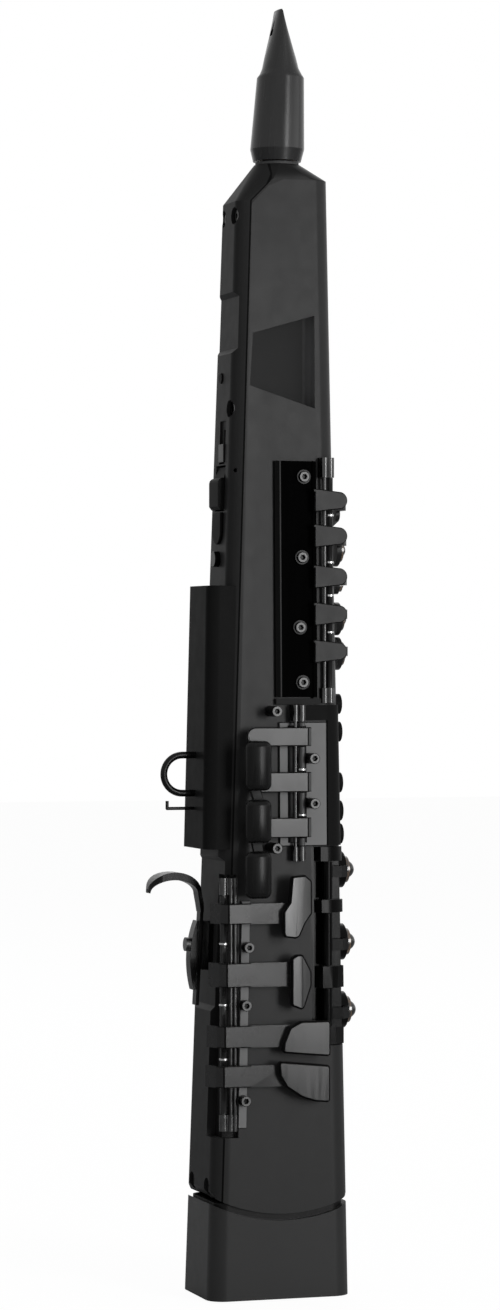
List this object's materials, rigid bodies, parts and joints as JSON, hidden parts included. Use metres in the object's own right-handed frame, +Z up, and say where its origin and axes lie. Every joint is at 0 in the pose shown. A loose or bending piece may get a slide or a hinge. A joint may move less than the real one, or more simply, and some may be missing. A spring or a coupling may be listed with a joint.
{
  "type": "digital wind controller",
  "caption": "Straight electronic wind controller with a reed-style mouthpiece, sprung saxophone-type key stacks, side and thumb keys, strap ring and sliding thumb hook.",
  "frame": {"origin": "centre of the end cap's flat bottom, on the body's long axis", "axes": "+Z up the body to the mouthpiece, +X out of the front face with the pearls, -X to the player's side, -Y to the player's right"},
  "size_m": [0.1019, 0.0633, 0.5956],
  "materials": {
    "shell": "satin dark grey",
    "back_shell_plastic": "satin charcoal",
    "cork": "matte cork on a dark tube",
    "battery": "shrink wrap",
    "board": "solder mask",
    "sensor_metal": "satin",
    "screw_steel": "satin",
    "gloss_panel": "gloss black",
    "key_screw_metal": "dark oxide",
    "bracket_plastic": "satin grey",
    "rod_steel": "blackened",
    "ring_metal": "satin black",
    "hook_plastic": "semi gloss",
    "jack_plastic": "moulded",
    "mouthpiece_plastic": "semi gloss",
    "key_plastic": "satin",
    "dark_key_plastic": "semi gloss",
    "side_key_plastic": "satin",
    "pearl": "polished dark shell look"
  },
  "bodies": {
    "case": {"front_shell": "shell", "back_shell": "back_shell_plastic", "end_cap": "back_shell_plastic", "neck_collar": "cork", "back_housing": "back_shell_plastic", "battery_pack": "battery", "main_board": "board", "breath_sensor": "sensor_metal", "case_screws": "screw_steel", "side_plate": "gloss_panel", "key_screws": "key_screw_metal", "stack_cover": "back_shell_plastic", "side_key_bracket": "bracket_plastic", "lh_stack_rods": "rod_steel", "rh_stack_frame": "gloss_panel", "side_key_rods": "rod_steel", "low_key_rail": "bracket_plastic", "low_key_rods": "rod_steel", "strap_ring": "ring_metal", "cable_hook": "ring_metal", "thumb_rest": "back_shell_plastic", "thumb_hook_base": "hook_plastic", "thumb_hook_clamp": "ring_metal", "left_key_posts": "rod_steel", "headphone_jack": "jack_plastic"},
    "mouthpiece_body": {"mouthpiece": "mouthpiece_plastic"},
    "lh_front_f_body": {"lh_front_f_key": "key_plastic"},
    "lh_b_body": {"lh_b_key": "key_plastic", "lh_b_pearl": "pearl"},
    "lh_bis_body": {"lh_bis_key": "key_plastic", "lh_bis_pearl": "pearl"},
    "lh_a_body": {"lh_a_key": "key_plastic", "lh_a_pearl": "pearl"},
    "lh_g_body": {"lh_g_key": "key_plastic", "lh_g_pearl": "pearl"},
    "rh_f_body": {"rh_f_key": "dark_key_plastic", "rh_f_pearl": "pearl"},
    "rh_e_body": {"rh_e_key": "dark_key_plastic", "rh_e_pearl": "pearl"},
    "rh_d_body": {"rh_d_key": "dark_key_plastic", "rh_d_pearl": "pearl"},
    "side_high_e_body": {"side_high_e_key": "side_key_plastic"},
    "side_c_body": {"side_c_key": "side_key_plastic"},
    "side_b_flat_body": {"side_b_flat_key": "side_key_plastic"},
    "high_f_sharp_body": {"high_f_sharp_key": "key_plastic"},
    "alt_f_sharp_body": {"alt_f_sharp_key": "key_plastic"},
    "low_e_flat_body": {"low_e_flat_key": "key_plastic"},
    "low_c_body": {"low_c_key": "key_plastic"},
    "octave_body": {"octave_key": "back_shell_plastic"},
    "palm_d_body": {"palm_d_key": "key_plastic"},
    "palm_e_flat_body": {"palm_e_flat_key": "key_plastic"},
    "palm_f_body": {"palm_f_key": "key_plastic"},
    "table_g_sharp_body": {"table_g_sharp_key": "key_plastic"},
    "table_c_sharp_body": {"table_c_sharp_key": "key_plastic"},
    "table_b_body": {"table_b_key": "key_plastic"},
    "table_b_flat_body": {"table_b_flat_key": "key_plastic"},
    "thumb_button_body": {"thumb_button": "dark_key_plastic"},
    "function_button_body": {"function_button": "back_shell_plastic"},
    "power_slider_body": {"power_slider": "key_plastic"},
    "thumb_hook_body": {"thumb_hook": "hook_plastic"}
  },
  "joints": [
    {"name": "mouthpiece_tuning_slide", "type": "slide", "parent": "case", "child": "mouthpiece_body", "axis": [0, 0, 1], "range_m": [0, 0.015]},
    {"name": "lh_front_f_press", "type": "hinge", "parent": "case", "child": "lh_front_f_body", "pos_m": [0.02256, -0.02012, 0.3626], "axis": [0, 0, 1], "range_deg": [0, 5.2], "stiffness_Nm_per_rad": 0.02, "springref_deg": -17.19},
    {"name": "lh_b_press", "type": "hinge", "parent": "case", "child": "lh_b_body", "pos_m": [0.02256, -0.02012, 0.3447], "axis": [0, 0, 1], "range_deg": [0, 5.2], "stiffness_Nm_per_rad": 0.02, "springref_deg": -17.19},
    {"name": "lh_bis_press", "type": "hinge", "parent": "case", "child": "lh_bis_body", "pos_m": [0.02256, -0.02012, 0.3282], "axis": [0, 0, 1], "range_deg": [0, 5.2], "stiffness_Nm_per_rad": 0.02, "springref_deg": -17.19},
    {"name": "lh_a_press", "type": "hinge", "parent": "case", "child": "lh_a_body", "pos_m": [0.02256, -0.02012, 0.3126], "axis": [0, 0, 1], "range_deg": [0, 5.2], "stiffness_Nm_per_rad": 0.02, "springref_deg": -17.19},
    {"name": "lh_g_press", "type": "hinge", "parent": "case", "child": "lh_g_body", "pos_m": [0.02256, -0.02012, 0.2964], "axis": [0, 0, 1], "range_deg": [0, 5.2], "stiffness_Nm_per_rad": 0.02, "springref_deg": -17.19},
    {"name": "rh_f_press", "type": "hinge", "parent": "case", "child": "rh_f_body", "pos_m": [0.02141, -0.01965, 0.1955], "axis": [0, 0, 1], "range_deg": [0, 5.2], "stiffness_Nm_per_rad": 0.02, "springref_deg": -17.19},
    {"name": "rh_e_press", "type": "hinge", "parent": "case", "child": "rh_e_body", "pos_m": [0.02141, -0.01965, 0.1618], "axis": [0, 0, 1], "range_deg": [0, 5.2], "stiffness_Nm_per_rad": 0.02, "springref_deg": -17.19},
    {"name": "rh_d_press", "type": "hinge", "parent": "case", "child": "rh_d_body", "pos_m": [0.02141, -0.01965, 0.1301], "axis": [0, 0, 1], "range_deg": [0, 5.2], "stiffness_Nm_per_rad": 0.02, "springref_deg": -17.19},
    {"name": "side_high_e_press", "type": "hinge", "parent": "case", "child": "side_high_e_body", "pos_m": [0.0076, -0.02392, 0.2582], "axis": [0, 0, -1], "range_deg": [0, 5.7], "stiffness_Nm_per_rad": 0.03, "springref_deg": -17.19},
    {"name": "side_c_press", "type": "hinge", "parent": "case", "child": "side_c_body", "pos_m": [0.0076, -0.02392, 0.23735], "axis": [0, 0, -1], "range_deg": [0, 5.7], "stiffness_Nm_per_rad": 0.03, "springref_deg": -17.19},
    {"name": "side_b_flat_press", "type": "hinge", "parent": "case", "child": "side_b_flat_body", "pos_m": [0.0076, -0.02392, 0.21645], "axis": [0, 0, -1], "range_deg": [0, 5.7], "stiffness_Nm_per_rad": 0.03, "springref_deg": -17.19},
    {"name": "high_f_sharp_press", "type": "hinge", "parent": "case", "child": "high_f_sharp_body", "pos_m": [-0.02907, -0.02039, 0.1773], "axis": [0, 0, 1], "range_deg": [0, 3.4], "stiffness_Nm_per_rad": 0.05, "springref_deg": -17.19},
    {"name": "alt_f_sharp_press", "type": "hinge", "parent": "case", "child": "alt_f_sharp_body", "pos_m": [-0.02907, -0.02039, 0.1494], "axis": [0, 0, 1], "range_deg": [0, 3.4], "stiffness_Nm_per_rad": 0.05, "springref_deg": -17.19},
    {"name": "low_e_flat_press", "type": "hinge", "parent": "case", "child": "low_e_flat_body", "pos_m": [-0.02907, -0.02039, 0.1212], "axis": [0, 0, 1], "range_deg": [0, 3.4], "stiffness_Nm_per_rad": 0.05, "springref_deg": -17.19},
    {"name": "low_c_press", "type": "hinge", "parent": "case", "child": "low_c_body", "pos_m": [-0.02907, -0.02039, 0.103], "axis": [0, 0, 1], "range_deg": [0, 3.4], "stiffness_Nm_per_rad": 0.05, "springref_deg": -17.19},
    {"name": "octave_press", "type": "hinge", "parent": "case", "child": "octave_body", "pos_m": [-0.02139, 0, 0.3806], "axis": [0, -1, 0], "range_deg": [0, 6.3], "stiffness_Nm_per_rad": 0.02, "springref_deg": -17.19},
    {"name": "palm_d_press", "type": "hinge", "parent": "case", "child": "palm_d_body", "pos_m": [0.015, 0.0204, 0.452], "axis": [0, 0, 1], "range_deg": [0, 5.2], "stiffness_Nm_per_rad": 0.02, "springref_deg": -17.19},
    {"name": "palm_e_flat_press", "type": "hinge", "parent": "case", "child": "palm_e_flat_body", "pos_m": [0.015, 0.0204, 0.424], "axis": [0, 0, 1], "range_deg": [0, 5.2], "stiffness_Nm_per_rad": 0.02, "springref_deg": -17.19},
    {"name": "palm_f_press", "type": "hinge", "parent": "case", "child": "palm_f_body", "pos_m": [0.015, 0.0204, 0.395], "axis": [0, 0, 1], "range_deg": [0, 5.2], "stiffness_Nm_per_rad": 0.02, "springref_deg": -17.19},
    {"name": "table_g_sharp_press", "type": "hinge", "parent": "case", "child": "table_g_sharp_body", "pos_m": [-0.019, 0.02309, 0.288], "axis": [0, 0, -1], "range_deg": [0, 4], "stiffness_Nm_per_rad": 0.04, "springref_deg": -17.19},
    {"name": "table_c_sharp_press", "type": "hinge", "parent": "case", "child": "table_c_sharp_body", "pos_m": [-0.019, 0.02309, 0.268], "axis": [0, 0, -1], "range_deg": [0, 4], "stiffness_Nm_per_rad": 0.04, "springref_deg": -17.19},
    {"name": "table_b_press", "type": "hinge", "parent": "case", "child": "table_b_body", "pos_m": [-0.019, 0.02309, 0.248], "axis": [0, 0, -1], "range_deg": [0, 4], "stiffness_Nm_per_rad": 0.04, "springref_deg": -17.19},
    {"name": "table_b_flat_press", "type": "hinge", "parent": "case", "child": "table_b_flat_body", "pos_m": [-0.019, 0.02309, 0.229], "axis": [0, 0, -1], "range_deg": [0, 4], "stiffness_Nm_per_rad": 0.04, "springref_deg": -17.19},
    {"name": "thumb_button_press", "type": "slide", "parent": "case", "child": "thumb_button_body", "axis": [1, 0, 0], "range_m": [0, 0.0012], "stiffness_N_per_m": 400, "springref_m": -0.001},
    {"name": "function_button_press", "type": "slide", "parent": "case", "child": "function_button_body", "axis": [1, 0, 0], "range_m": [0, 0.0005], "stiffness_N_per_m": 400, "springref_m": -0.001},
    {"name": "power_slide", "type": "slide", "parent": "case", "child": "power_slider_body", "axis": [0, 0, 1], "range_m": [0, 0.008]},
    {"name": "thumb_hook_slide", "type": "slide", "parent": "case", "child": "thumb_hook_body", "axis": [0.0523, 0, 0.9986], "range_m": [-0.003, 0.003]}
  ]
}
